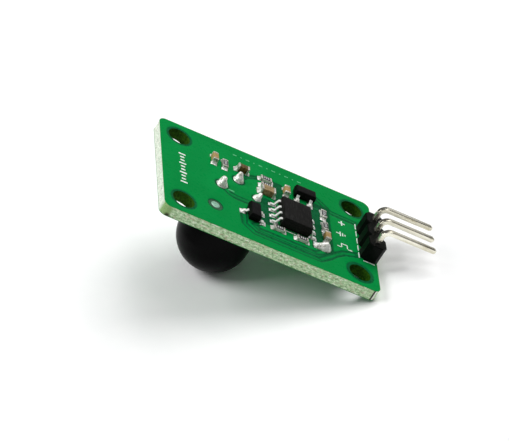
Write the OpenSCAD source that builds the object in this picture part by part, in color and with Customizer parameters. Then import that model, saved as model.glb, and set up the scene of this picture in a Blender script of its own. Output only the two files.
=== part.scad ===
// Passive infrared motion sensor module: a small circuit board with a dome lens
// over a TO-5 heat sensor on one face, and its chip and pin header on the other.
// Origin: centre of the four mounting holes, on the board's sensor-side face.
// +Z points to the component side, +X to the sensor end, the header is at -X.

/* [Board] */
// Length of the board, along X
board_length = 31; // [30:0.5:34]
// Width of the board, along Y
board_width = 19.5; // [19:0.5:22]
// Full thickness of the board, with its solder mask
board_thickness = 1.6; // [1.2:0.1:2]
// Radius of the board's corners
corner_radius = 1; // [0.5:0.1:2]
// Thickness of the solder mask and pad layer on each face
mask_thickness = 0.06; // [0.04:0.01:0.1]

/* [Mounting holes] */
// Diameter of the four mounting holes
mount_hole_diameter = 3.1; // [2.6:0.1:3.2]
// Distance between mounting holes along X
mount_spacing_x = 25.4; // [24.5:0.1:25.6]
// Distance between mounting holes along Y
mount_spacing_y = 14; // [13.5:0.1:14.2]

/* [Sensor] */
// Distance of the sensor's axis from the middle of the board, along X
sensor_x = 4.35; // [3:0.05:6]
// Diameter of the sensor's base flange
base_diameter = 9.1; // [8.8:0.1:9.3]
// Outer diameter of the sensor's metal can
can_diameter = 8.1; // [7.8:0.1:8.1]
// Distance from the board's face to the end of the can
can_end = 4.9; // [4.6:0.1:5]
// Diameter of the circle that the three leads stand on
lead_circle = 5.08; // [4.8:0.02:5.1]
// Diameter of each sensor lead
lead_diameter = 0.45; // [0.4:0.05:0.5]

/* [Lens] */
// Outer diameter of the dome lens
lens_diameter = 9.8; // [9.8:0.1:10.4]
// Wall thickness of the lens
lens_wall = 0.45; // [0.4:0.05:0.45]
// Distance from the board's face to the centre of the dome
dome_centre = 5.55; // [5.4:0.05:6]
// How far the pressed-on lens sits off the sensor's axis, along X, within its clearance
lens_shift_x = -0.2; // [-0.25:0.05:0.25]
// The same along Y
lens_shift_y = 0.3; // [-0.3:0.05:0.3]

/* [Chip] */
// Place of the eight-lead chip along X
chip_x = -3.2; // [-3.3:0.1:-3.1]
// Place of the eight-lead chip along Y
chip_y = 1.8; // [1.6:0.05:1.8]
// Distance between neighbouring chip leads
chip_pitch = 1.27; // [1.2:0.01:1.27]
// Width of the chip's body, along X
chip_body_width = 4.3; // [4:0.1:4.4]
// Length of the chip's body, along Y
chip_body_length = 5.1; // [4.9:0.1:5.1]
// Height of the chip's top above the board
chip_height = 1.6; // [1.4:0.05:1.75]

/* [Header] */
// Distance between neighbouring header pins
pin_pitch = 2.54; // [2.5:0.01:2.54]
// Width across flats of a header pin
pin_width = 0.64; // [0.6:0.01:0.66]
// Height of the header's plastic strip
strip_height = 2.54; // [2.4:0.02:2.6]
// Height of the bent pins' centre line above the board
pin_height = 4.5; // [4.2:0.1:5]
// Distance from the header's centre line to the pins' tips
pin_reach = 7.4; // [6:0.1:8]

/* [Hidden] */
$fn = 64;
board_top = board_thickness;
copper_top = board_thickness - mask_thickness;
track_thickness = mask_thickness / 2;
joint_widening = 1.25;
drill_sensor = 0.9;
drill_header = 1.2;
plating = 0.06;
header_x = -14.3;
strip_corner = 0.57;
bend_radius = 1;
pin_stub = 0.45;
pin_tip = 0.3;
chip_lead_width = 0.42;
chip_lead_thickness = 0.2;
chip_lead_reach = 3.15;
chip_lead_exit = 0.95;
base_thickness = 0.5;
base_step = 1;
can_rim = 0.3;
can_wall = 0.25;
window_x = 4;
window_y = 3;
filter_thickness = 0.5;
plate_diameter = 6.4;
plate_top = 2.1;
plate_thickness = 0.5;
glass_diameter = 1.1;
cone_radius = 0.8;
cone_height = 1.15;
legend_height = 0.03;
legend_line = 0.15;

// Chip resistors: x, y and the angle of the long side
RESISTORS = [
    [6.3, -4.65, 90], [0.3, -5.05, 0], [0.3, -3.6, 0], [-0.95, 5.05, 0],
    [-4.3, 5.25, 0], [-8, -2.5, 90], [-8, 0.2, 90]
];
// Chip capacitors: x, y, the angle of the long side, length, width and height
CAPACITORS = [
    [7.85, -4.85, 90, 1.6, 0.8, 0.8], [3.8, -4.9, 0, 1.6, 0.85, 0.9],
    [0.35, -2.2, 0, 2, 1.25, 0.9], [-2.6, -4.1, 90, 1.6, 0.8, 0.8],
    [-8.05, 2.6, 90, 1.6, 0.8, 0.8]
];
RESISTOR_SIZE = [1.6, 0.8, 0.45];
END_CAP = 0.3;
// Three-lead packages: x, y and the angle of the side with one lead
REGULATOR = [2.75, 4.1, 0];
TRANSISTOR = [-5.2, -4.8, -90];
SOT_LENGTH = 3;
SOT_WIDTH = 1.6;
SOT_HEIGHT = 1.15;
SOT_REACH = 1.4;
SOT_PITCH = 0.95;
// Places of the sensor's leads round its axis; the last one is the earthed lead
LEAD_ANGLES = [0, 180, 270];
JUMPER_PADS = [[-6.6, 4.85], [-7.75, 4.85]];
FIDUCIAL = [8.1, 5.2];
// Copper tracks: the width of each and its route, points joined by straight runs
TRACKS = [
    [0.6, [[6.89, 0], [5.8, 1.3], [4.9, 1.6], [3, 1.55], [1.6, 3.15]]],
    [0.6, [[4.05, 4.1], [4.05, 6.6], [2.6, 7.87], [-6.8, 7.87], [-8.3, 6.4], [-9.2, 5.3],
           [-10.6, 4.1], [-12.4, 3.4], [-14.3, 2.54]]],
    [0.5, [[1.55, 5.05], [2.6, 6.1], [1.9, 6.75], [-6.3, 6.75], [-7.75, 5.6]]],
    [0.3, [[4.35, -2.54], [3.2, -4], [2.2, -4.6], [1.15, -5.05]]],
    [0.3, [[-6.15, -3.6], [-8, -3.3]]],
    [0.5, [[-5.2, -6], [-7.4, -5.8], [-9.3, -3.9], [-13, -3.9], [-14.3, -2.54]]]
];

// ---- shared shapes ----

// A slab with rounded corners from z = low to z = high
module slab(low, high) {
    side_x = board_length - 2 * corner_radius;
    side_y = board_width - 2 * corner_radius;
    translate([0, 0, low]) {
        translate([-board_length / 2, -side_y / 2, 0])
            cube([board_length, side_y, high - low]);
        translate([-side_x / 2, -board_width / 2, 0])
            cube([side_x, board_width, high - low]);
        for (x = [-1, 1], y = [-1, 1])
            translate([x * side_x / 2, y * side_y / 2, 0])
                cylinder(h = high - low, r = corner_radius);
    }
}

module at_mount_holes() {
    for (x = [-1, 1], y = [-1, 1])
        translate([x * mount_spacing_x / 2, y * mount_spacing_y / 2, 0]) children();
}

module at_sensor() {
    translate([sensor_x, 0, 0]) children();
}

module at_leads(angles = LEAD_ANGLES) {
    at_sensor() for (angle = angles)
        rotate([0, 0, angle]) translate([lead_circle / 2, 0, 0]) children();
}

module at_pins() {
    for (i = [-1, 0, 1]) translate([header_x, i * pin_pitch, 0]) children();
}

module mount_holes() {
    at_mount_holes() translate([0, 0, -1]) cylinder(h = board_thickness + 2, d = mount_hole_diameter);
}

module drilled_holes() {
    at_leads() translate([0, 0, -1]) cylinder(h = board_thickness + 2, d = drill_sensor);
    at_pins() translate([0, 0, -1]) cylinder(h = board_thickness + 2, d = drill_header);
}

// A box centred on x and y that stands on z = 0
module block(length, width, height) {
    translate([-length / 2, -width / 2, 0]) cube([length, width, height]);
}

// ---- pads, openings in the mask, tracks ----

module part_pads(length, width, height) {
    for (side = [-1, 1])
        translate([side * (length / 2 + 0.1), 0, 0]) block(0.8, width + 0.15, height);
}

module at_parts(list) {
    for (part = list) translate([part[0], part[1], 0]) rotate([0, 0, part[2]]) children();
}

module at_sot_leads(place) {
    translate([place[0], place[1], 0]) rotate([0, 0, place[2]]) {
        children();
        for (side = [-1, 1]) translate([0, side * SOT_PITCH, 0]) rotate([0, 0, 180]) children();
    }
}

module at_chip_leads() {
    translate([chip_x, chip_y, 0]) for (side = [0, 180], i = [-1.5 : 1.5])
        rotate([0, 0, side]) translate([0, i * chip_pitch, 0]) children();
}

module top_pad_shapes(height) {
    at_parts(RESISTORS) part_pads(RESISTOR_SIZE[0], RESISTOR_SIZE[1], height);
    for (part = CAPACITORS) at_parts([part]) part_pads(part[3], part[4], height);
    at_chip_leads() translate([2.8, 0, 0]) block(1.2, 0.65, height);
    for (place = [REGULATOR, TRANSISTOR])
        at_sot_leads(place) translate([SOT_REACH, 0, 0]) block(0.9, 0.9, height);
    for (pad = JUMPER_PADS) translate([pad[0], pad[1], 0]) block(1, 1.4, height);
    at_leads() cylinder(h = height, r = cone_radius);
    at_pins() cylinder(h = height, d = 1.8);
}

// One track: straight runs with a slightly wider disc at each bend
module track(width, points, height) {
    for (i = [0 : len(points) - 2]) {
        run = points[i + 1] - points[i];
        translate([points[i][0], points[i][1], 0]) rotate([0, 0, atan2(run[1], run[0])])
            translate([0, -width / 2, 0]) cube([norm(run), width, height]);
        if (i > 0) translate([points[i][0], points[i][1], 0])
            cylinder(h = height, d = width * joint_widening);
    }
}

module track_shapes(height) {
    for (route = TRACKS) track(route[0], route[1], height);
}

module board_laminate() {
    color("darkkhaki") difference() {
        slab(mask_thickness, copper_top);
        mount_holes();
        drilled_holes();
    }
}

module solder_mask_top() {
    color([0.02, 0.55, 0.25]) difference() {
        slab(copper_top, board_top);
        mount_holes();
        drilled_holes();
        translate([0, 0, copper_top - 0.5]) top_pad_shapes(mask_thickness + 1);
        translate([0, 0, copper_top - 0.5]) track_shapes(0.5 + track_thickness);
        translate([FIDUCIAL[0], FIDUCIAL[1], copper_top - 0.5]) cylinder(h = mask_thickness + 1, d = 2);
    }
}

module solder_mask_bottom() {
    color([0.02, 0.5, 0.22]) difference() {
        slab(0, mask_thickness);
        mount_holes();
        drilled_holes();
        at_leads() translate([0, 0, -0.5]) cylinder(h = mask_thickness + 1, d = 1.5);
        at_pins() translate([0, 0, -0.5]) cylinder(h = mask_thickness + 1, d = 1.8);
    }
}

module copper_tracks() {
    color("peru") difference() {
        translate([0, 0, copper_top]) track_shapes(track_thickness);
        translate([0, 0, copper_top - 0.5]) top_pad_shapes(mask_thickness + 1);
    }
}

module pads_top() {
    color("silver") difference() {
        translate([0, 0, copper_top]) top_pad_shapes(mask_thickness);
        drilled_holes();
    }
}

module pads_bottom() {
    color("silver") difference() {
        union() {
            at_leads() cylinder(h = mask_thickness, d = 1.5);
            at_pins() cylinder(h = mask_thickness, d = 1.8);
        }
        drilled_holes();
    }
}

// The copper barrel that lines a drilled hole
module barrel(drill) {
    difference() {
        cylinder(h = board_thickness, d = drill);
        translate([0, 0, -1]) cylinder(h = board_thickness + 2, d = drill - 2 * plating);
    }
}

module plated_holes() {
    color("silver") {
        at_leads() barrel(drill_sensor);
        at_pins() barrel(drill_header);
    }
}

module fiducial_target() {
    color("silver") translate([FIDUCIAL[0], FIDUCIAL[1], copper_top]) cylinder(h = mask_thickness, d = 1.3);
}

// ---- printed legend: outlines and plain symbols ----

module line(x, y, length, width) {
    translate([x - length / 2, y - width / 2, 0]) cube([length, width, legend_height]);
}

module plus_symbol() {
    line(0, 0, 1, 0.2);
    for (side = [-1, 1]) line(0, side * 0.3, 0.2, 0.4);
}

module earth_symbol() {
    for (i = [0 : 2]) line(0.4 - i * 0.35, 0, 0.15, 1 - i * 0.32);
    line(0.75, 0, 0.55, 0.15);
}

module pulse_symbol() {
    for (side = [-1, 1]) line(side * 0.8, 0.4, 0.6, 0.15);
    line(0, -0.4, 1, 0.15);
    for (side = [-1, 1]) line(side * 0.425, 0.0, 0.15, 0.65);
}

module legend_print() {
    left = header_x + pin_pitch / 2 + 0.15;
    half = 1.5 * pin_pitch + 0.15;
    color("white") translate([0, 0, board_top]) {
        for (i = [0 : 4]) line(left, (i - 2) * 1.55, legend_line, 1.15);
        for (side = [-1, 1]) line(header_x, side * half, 1.7, legend_line);
        for (side = [-1, 1]) line(chip_x, chip_y + side * (chip_body_length / 2 + 0.2), 3.6, legend_line);
        translate([-10.8, -pin_pitch, 0]) plus_symbol();
        translate([-10.8, 0, 0]) earth_symbol();
        translate([-10.8, pin_pitch, 0]) pulse_symbol();
        for (i = [0 : 9]) line(12.5, -3.1 + i * 0.69, i % 3 == 0 ? 1 : 0.6, 0.28);
        for (i = [0 : 10]) line(4.6 - i * 0.95, -8, i % 2 == 0 ? 0.55 : 0.2, 0.2);
        line(5.6, 0.6, 0.9, 0.3);
    }
}

// ---- lens and heat sensor ----

module lens() {
    outer = lens_diameter / 2;
    inner = outer - lens_wall;
    rim = base_thickness + can_rim;
    color([0.08, 0.08, 0.09]) at_sensor() translate([lens_shift_x, lens_shift_y, 0]) difference() {
        union() {
            translate([0, 0, -dome_centre]) cylinder(h = dome_centre - rim, r = outer);
            translate([0, 0, -dome_centre]) sphere(r = outer);
        }
        translate([0, 0, -dome_centre]) cylinder(h = dome_centre + 1, r = inner);
        translate([0, 0, -dome_centre]) sphere(r = inner);
        translate([0, 0, -rim]) cylinder(h = 10, r = outer + 1);
    }
}

module sensor_base() {
    color("gainsboro") difference() {
        at_sensor() {
            translate([0, 0, -base_thickness]) cylinder(h = base_thickness, d = base_diameter);
            translate([0, 0, -base_step]) cylinder(h = base_step, d = can_diameter - 2 * can_wall - 0.1);
            rotate([0, 0, 45]) translate([0, -0.4, -base_thickness]) cube([5.3, 0.8, base_thickness]);
        }
        at_leads([0, 180]) translate([0, 0, -2]) cylinder(h = 4, d = glass_diameter);
        at_leads([270]) translate([0, 0, -2]) cylinder(h = 4, d = lead_diameter);
    }
}

module sensor_glass_seals() {
    color("darkseagreen") difference() {
        at_leads([0, 180]) translate([0, 0, -base_step]) cylinder(h = base_step, d = glass_diameter);
        at_leads([0, 180]) translate([0, 0, -2]) cylinder(h = 4, d = lead_diameter);
    }
}

module sensor_leads() {
    color("gold") at_leads() translate([0, 0, -plate_top])
        cylinder(h = plate_top + board_top + cone_height - 0.1, d = lead_diameter);
}

module sensor_can() {
    inner = can_diameter / 2 - can_wall;
    rim_radius = base_diameter / 2 - 0.1;
    color("silver") at_sensor() difference() {
        rotate_extrude() polygon([
            [inner, -base_thickness], [rim_radius, -base_thickness], [rim_radius, -base_thickness - can_rim],
            [can_diameter / 2, -base_thickness - can_rim], [can_diameter / 2, -can_end], [0, -can_end],
            [0, -can_end + can_wall], [inner, -can_end + can_wall]
        ]);
        translate([0, 0, -can_end - 1]) block(window_x, window_y, can_wall + 1.2);
    }
}

module sensor_filter() {
    color("dimgray") at_sensor() translate([0, 0, -can_end + can_wall])
        block(window_x + 1, window_y + 1, filter_thickness);
}

module sensor_plate() {
    color("white") at_sensor() translate([0, 0, -plate_top - plate_thickness])
        cylinder(h = plate_thickness, d = plate_diameter);
}

module sensor_elements() {
    color("khaki") at_sensor() for (side = [-1, 1])
        translate([side, 0, -plate_top - plate_thickness - 0.15]) block(1, 2.2, 0.15);
}

module sensor_transistor() {
    color([0.15, 0.15, 0.15]) at_sensor() translate([0, 0, -plate_top]) block(1.6, 1.2, 0.6);
}

// ---- packages with leads ----

// A moulded body with four sloping sides, parted at mid height
module moulded_body(length, width, low, high) {
    middle = (low + high) / 2;
    slope = (high - low) * 0.09;
    intersection() {
        translate([0, width, 0]) rotate([90, 0, 0]) linear_extrude(2 * width) polygon([
            [-length / 2 + slope, low], [length / 2 - slope, low], [length / 2, middle],
            [length / 2 - slope, high], [-length / 2 + slope, high], [-length / 2, middle]
        ]);
        translate([-length, 0, 0]) rotate([90, 0, 90]) linear_extrude(2 * length) polygon([
            [-width / 2 + slope, low], [width / 2 - slope, low], [width / 2, middle],
            [width / 2 - slope, high], [-width / 2 + slope, high], [-width / 2, middle]
        ]);
    }
}

// A gull-wing lead that leaves a body along +X: root is inside the body
module gull_lead(root, shoulder, reach, exit, thickness, width) {
    translate([0, width / 2, board_top]) rotate([90, 0, 0]) linear_extrude(width) polygon([
        [root, exit - thickness / 2], [root, exit + thickness / 2], [shoulder, exit + thickness / 2],
        [shoulder + 0.17, exit + thickness / 4], [shoulder + 0.36, thickness * 1.6],
        [shoulder + 0.5, thickness], [reach, thickness], [reach, 0], [shoulder + 0.36, 0],
        [shoulder + 0.2, thickness * 0.7], [shoulder, exit - thickness / 2]
    ]);
}

module chip_lead_shapes() {
    at_chip_leads() gull_lead(1.6, chip_body_width / 2 + 0.2, chip_lead_reach, chip_lead_exit,
                              chip_lead_thickness, chip_lead_width);
}

module chip_paddle_shape() {
    translate([chip_x, chip_y, board_top + 0.75]) block(2.2, 2.8, 0.15);
}

module chip_die_shape() {
    translate([chip_x, chip_y, board_top + 0.9]) block(1.5, 1.8, 0.25);
}

module chip_body() {
    color([0.12, 0.12, 0.12]) difference() {
        translate([chip_x, chip_y, board_top])
            moulded_body(chip_body_width, chip_body_length, 0.12, chip_height);
        chip_lead_shapes();
        chip_paddle_shape();
        chip_die_shape();
    }
}

module chip_leads() {
    color("silver") chip_lead_shapes();
}

module chip_paddle() {
    color("peru") chip_paddle_shape();
}

module chip_die() {
    color("slategray") chip_die_shape();
}

module sot_lead_shapes(place) {
    at_sot_leads(place) gull_lead(SOT_WIDTH / 2 - 0.2, SOT_WIDTH / 2 + 0.02, SOT_REACH, 0.5, 0.14, 0.42);
}

module sot_body(place) {
    color([0.1, 0.1, 0.1]) difference() {
        translate([place[0], place[1], board_top]) rotate([0, 0, place[2]])
            moulded_body(SOT_WIDTH, SOT_LENGTH, 0.08, SOT_HEIGHT);
        sot_lead_shapes(place);
    }
}

module regulator_body() {
    sot_body(REGULATOR);
}

module regulator_leads() {
    color("silver") sot_lead_shapes(REGULATOR);
}

module transistor_body() {
    sot_body(TRANSISTOR);
}

module transistor_leads() {
    color("silver") sot_lead_shapes(TRANSISTOR);
}

// ---- chip resistors and capacitors ----

module part_core(length, width, height) {
    translate([0, 0, board_top]) block(length - 2 * END_CAP, width, height);
}

module part_ends(length, width, height) {
    for (side = [-1, 1])
        translate([side * (length - END_CAP) / 2, 0, board_top]) block(END_CAP, width, height);
}

module resistor_body(i) {
    color([0.1, 0.1, 0.1]) at_parts([RESISTORS[i]])
        part_core(RESISTOR_SIZE[0], RESISTOR_SIZE[1], RESISTOR_SIZE[2]);
}

module resistor_ends(i) {
    color("silver") at_parts([RESISTORS[i]])
        part_ends(RESISTOR_SIZE[0], RESISTOR_SIZE[1], RESISTOR_SIZE[2]);
}

module capacitor_body(i) {
    part = CAPACITORS[i];
    color("tan") at_parts([part]) part_core(part[3], part[4], part[5]);
}

module capacitor_ends(i) {
    part = CAPACITORS[i];
    color("silver") at_parts([part]) part_ends(part[3], part[4], part[5]);
}

// ---- pin header ----

module pin_section(length) {
    block(pin_width, pin_width, length);
}

module header_strip() {
    side = pin_pitch;
    color([0.06, 0.06, 0.06]) difference() {
        at_pins() translate([0, 0, board_top]) linear_extrude(strip_height) polygon([
            [-side / 2, -side / 2 + strip_corner], [-side / 2 + strip_corner, -side / 2],
            [side / 2 - strip_corner, -side / 2], [side / 2, -side / 2 + strip_corner],
            [side / 2, side / 2 - strip_corner], [side / 2 - strip_corner, side / 2],
            [-side / 2 + strip_corner, side / 2], [-side / 2, side / 2 - strip_corner]
        ]);
        at_pins() pin_section(20);
    }
}

// One square pin: up through the board and the strip, round the bend, out along -X
module header_pin(i) {
    rise = board_top + pin_height - bend_radius;
    run = pin_reach - bend_radius - pin_tip;
    tip_width = pin_width / 2;
    color("silver") translate([header_x, i * pin_pitch, 0]) {
        translate([0, 0, -pin_stub]) pin_section(rise + pin_stub);
        translate([-bend_radius, 0, rise]) rotate([90, 0, 0]) rotate_extrude(angle = 90)
            translate([bend_radius - pin_width / 2, -pin_width / 2]) square(pin_width);
        translate([-bend_radius - run, 0, rise + bend_radius]) {
            translate([0, -pin_width / 2, -pin_width / 2]) cube([run, pin_width, pin_width]);
            intersection() {
                translate([0, 1, 0]) rotate([90, 0, 0]) linear_extrude(2) polygon([
                    [0, pin_width / 2], [0, -pin_width / 2], [-pin_tip, -tip_width / 2], [-pin_tip, tip_width / 2]
                ]);
                translate([0, 0, -1]) linear_extrude(2) polygon([
                    [0, pin_width / 2], [0, -pin_width / 2], [-pin_tip, -tip_width / 2], [-pin_tip, tip_width / 2]
                ]);
            }
        }
    }
}

module header_pin_1() {
    header_pin(-1);
}

module header_pin_2() {
    header_pin(0);
}

module header_pin_3() {
    header_pin(1);
}

// ---- solder ----

// A hollow-sided cone on top of a pad, with the fill in the hole below it
module solder_cone() {
    translate([0, 0, board_top]) rotate_extrude() polygon([
        [0, 0], [cone_radius, 0], [cone_radius * 0.72, cone_height * 0.2],
        [cone_radius * 0.52, cone_height * 0.5], [cone_radius * 0.4, cone_height * 0.85],
        [cone_radius * 0.28, cone_height], [0, cone_height]
    ]);
    cylinder(h = board_top, d = drill_sensor - 2 * plating);
}

module sensor_solder() {
    color("silver") difference() {
        at_leads() solder_cone();
        sensor_leads();
    }
}

module header_solder() {
    color("silver") difference() {
        at_pins() {
            translate([0, 0, -0.35]) cylinder(h = 0.35, r1 = 0.5, r2 = 0.85);
            cylinder(h = board_top, d = drill_header - 2 * plating);
        }
        at_pins() translate([0, 0, -1]) pin_section(20);
    }
}

module jumper_solder() {
    color("silver") translate([0, 0, board_top]) intersection() {
        union() {
            translate([JUMPER_PADS[0][0], JUMPER_PADS[0][1], -0.45]) sphere(r = 0.95);
            translate([JUMPER_PADS[1][0], JUMPER_PADS[1][1], 0.05]) sphere(r = 1);
            translate([(JUMPER_PADS[0][0] + JUMPER_PADS[1][0]) / 2, JUMPER_PADS[0][1], 0])
                block(1.2, 1, 0.35);
        }
        cylinder(h = 5, r = 20);
    }
}

// A fillet against the end of a part: a wedge whose upright face is at x = 0
module fillet(width, reach, height) {
    translate([0, width / 2, board_top]) rotate([90, 0, 0]) linear_extrude(width) polygon([
        [0, 0], [reach, 0], [reach * 0.35, height * 0.4], [0, height]
    ]);
}

module part_fillets(length, width, height) {
    for (side = [0, 180]) rotate([0, 0, side]) translate([length / 2, 0, 0])
        fillet(width, 0.35, height * 0.75);
}

module surface_solder() {
    color("silver") {
        at_parts(RESISTORS) part_fillets(RESISTOR_SIZE[0], RESISTOR_SIZE[1], RESISTOR_SIZE[2]);
        for (part = CAPACITORS) at_parts([part]) part_fillets(part[3], part[4], part[5]);
        at_chip_leads() translate([chip_lead_reach, 0, 0]) fillet(chip_lead_width, 0.25, 0.16);
        for (place = [REGULATOR, TRANSISTOR])
            at_sot_leads(place) translate([SOT_REACH, 0, 0]) fillet(0.5, 0.35, 0.13);
    }
}

// ---- the assembly ----

board_laminate();
solder_mask_top();
solder_mask_bottom();
copper_tracks();
pads_top();
pads_bottom();
plated_holes();
legend_print();
fiducial_target();
lens();
sensor_base();
sensor_glass_seals();
sensor_leads();
sensor_can();
sensor_filter();
sensor_plate();
sensor_elements();
sensor_transistor();
chip_body();
chip_leads();
chip_paddle();
chip_die();
regulator_body();
regulator_leads();
transistor_body();
transistor_leads();
header_strip();
header_pin_1();
header_pin_2();
header_pin_3();
sensor_solder();
header_solder();
jumper_solder();
surface_solder();
for (i = [0 : len(RESISTORS) - 1]) {
    resistor_body(i);
    resistor_ends(i);
}
for (i = [0 : len(CAPACITORS) - 1]) {
    capacitor_body(i);
    capacitor_ends(i);
}
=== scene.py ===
"""Looks of a passive infrared motion sensor module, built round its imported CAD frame.

Sizes here are millimetres in the CAD frame: the origin is the centre of the mounting holes on the
board's sensor side, +Z points to the component side and +X to the sensor end. Meshes are in metres.
"""

import math

import bpy
import numpy as np
from mathutils import Matrix, Vector, geometry, noise


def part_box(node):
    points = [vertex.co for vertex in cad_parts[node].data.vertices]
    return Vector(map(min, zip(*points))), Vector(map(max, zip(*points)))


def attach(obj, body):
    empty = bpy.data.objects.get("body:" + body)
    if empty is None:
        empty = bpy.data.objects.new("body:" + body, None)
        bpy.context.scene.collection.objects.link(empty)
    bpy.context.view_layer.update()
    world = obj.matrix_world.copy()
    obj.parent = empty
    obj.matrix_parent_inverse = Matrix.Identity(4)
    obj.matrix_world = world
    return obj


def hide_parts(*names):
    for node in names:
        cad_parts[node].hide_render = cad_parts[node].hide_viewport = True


MM = 0.001
# Without a seed, noise vectors differ from run to run
noise.seed_set(1)
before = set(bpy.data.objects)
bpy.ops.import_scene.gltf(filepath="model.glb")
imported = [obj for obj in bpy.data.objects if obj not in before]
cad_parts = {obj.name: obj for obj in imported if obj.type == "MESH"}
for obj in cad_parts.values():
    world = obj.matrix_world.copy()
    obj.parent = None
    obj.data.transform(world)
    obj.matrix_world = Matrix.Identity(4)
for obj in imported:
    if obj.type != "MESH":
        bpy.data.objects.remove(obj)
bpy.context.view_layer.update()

# ---- the object's own sizes, as in the CAD source ----
BOARD_CORNER = 1.0
MASK = 0.06
HOLE_RADIUS = 1.55
HOLE_SPACING = (25.4, 14.0)
SENSOR_DRILL = 0.9
HEADER_DRILL = 1.2
LEAD_CIRCLE = 5.08
LEAD_ANGLES = (0, 180, 270)
PIN_PITCH = 2.54
PIN_WIDTH = 0.64
STRIP_CORNER = 0.57
CHIP_PITCH = 1.27
SOT_PITCH = 0.95
SOT_REACH = 1.4
END_CAP = 0.3
JUMPER_PADS = ((-6.6, 4.85), (-7.75, 4.85))
# Surface pads: the centre's distance along the part's X axis, half the length and half the width
CHIP_PAD = (2.8, 0.6, 0.325)
SOT_PAD = (SOT_REACH, 0.45, 0.45)
JUMPER_PAD = (0.0, 0.5, 0.7)
END_PAD_SHIFT = 0.02
END_PAD_HALF = 0.32
# Round pads: their radius at the header on both sides, and at the sensor on the sensor side
HEADER_PAD = 0.9
UNDER_PAD = 0.75
PAD_CORNER = 0.1
PAD_GAP = 0.04
FIDUCIAL = (8.1, 5.2)
FIDUCIAL_OPENING = 1.0
# Copper tracks: the width of each and its route
TRACKS = (
    (0.6, ((6.89, 0), (5.8, 1.3), (4.9, 1.6), (3, 1.55), (1.6, 3.15))),
    (0.6, ((4.05, 4.1), (4.05, 6.6), (2.6, 7.87), (-6.8, 7.87), (-8.3, 6.4), (-9.2, 5.3),
           (-10.6, 4.1), (-12.4, 3.4), (-14.3, 2.54))),
    (0.5, ((1.55, 5.05), (2.6, 6.1), (1.9, 6.75), (-6.3, 6.75), (-7.75, 5.6))),
    (0.3, ((4.35, -2.54), (3.2, -4), (2.2, -4.6), (1.15, -5.05))),
    (0.3, ((-6.15, -3.6), (-8, -3.3))),
    (0.5, ((-5.2, -6), (-7.4, -5.8), (-9.3, -3.9), (-13, -3.9), (-14.3, -2.54))),
)
# Tracks on the sensor side, which the board hides in most views
UNDER_TRACKS = (
    (0.6, ((4.35, -2.54), (1, -6), (-9, -6), (-12.5, -2.54), (-14.3, -2.54))),
    (0.4, ((1.81, 0), (-4, 0), (-8, 2.54), (-14.3, 2.54))),
    (0.4, ((6.89, 0), (9.5, 2.5), (9.5, 5), (7.5, 7), (-6, 7), (-9, 4.2))),
)
# Areas without copper under the mask: low corner, high corner
KEEPOUTS = (
    ((-0.4, -1.0), (1.5, 4.9)),
    ((-9.05, -4.6), (-5.9, 5.6)),
    ((-2.2, -5.6), (-0.7, -1.2)),
)
CLEARANCE = 0.28
# How far the mask's step from copper to bare laminate runs, and how deep it is
SOFT_EDGE = 0.05
MASK_DIP = 0.022


# ---- the frame's places, in millimetres ----

def cad_box(node):
    low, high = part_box(node)
    return low / MM, high / MM


BOARD_LOW, BOARD_HIGH = cad_box("board_laminate")
BOARD_HALF = (BOARD_HIGH - BOARD_LOW) / 2
TOP = cad_box("solder_mask_top")[1].z
LENS_LOW, LENS_HIGH = cad_box("lens")
LENS = (LENS_LOW + LENS_HIGH) / 2
LENS_RADIUS = (LENS_HIGH.x - LENS_LOW.x) / 2
DOME_CENTRE = LENS_LOW.z + LENS_RADIUS
CAN_LOW, CAN_HIGH = cad_box("sensor_can")
SENSOR_X = (CAN_LOW.x + CAN_HIGH.x) / 2
CONE_RADIUS = 0.8
# Each sensor joint: how far its tip leans along X and Y, and its share of the full size
CONES = ((0.1, 0.0, 1.0), (-0.35, -0.35, 0.72), (0.15, -0.2, 0.92))
CONE_RADII = [CONE_RADIUS * size for _, _, size in CONES]
STRIP_LOW, STRIP_HIGH = cad_box("header_strip")
HEADER_X = (STRIP_LOW.x + STRIP_HIGH.x) / 2
CHIP_LOW, CHIP_HIGH = cad_box("chip_body")
CHIP = (CHIP_LOW + CHIP_HIGH) / 2
LEAD_PLACES = [
    (SENSOR_X + LEAD_CIRCLE / 2 * math.cos(math.radians(a)), LEAD_CIRCLE / 2 * math.sin(math.radians(a)))
    for a in LEAD_ANGLES
]
PIN_PLACES = [(HEADER_X, i * PIN_PITCH) for i in (-1, 0, 1)]
MOUNT_PLACES = [
    (x * HOLE_SPACING[0] / 2, y * HOLE_SPACING[1] / 2) for x in (-1, 1) for y in (-1, 1)
]


# ---- materials: one Principled shader each, varied by noise on the object's own coordinates ----

def srgb(red, green, blue):
    """A linear colour from 0 to 255 screen values."""
    def linear(value):
        value /= 255
        return value / 12.92 if value <= 0.04045 else ((value + 0.055) / 1.055) ** 2.4
    return linear(red), linear(green), linear(blue), 1


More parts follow.
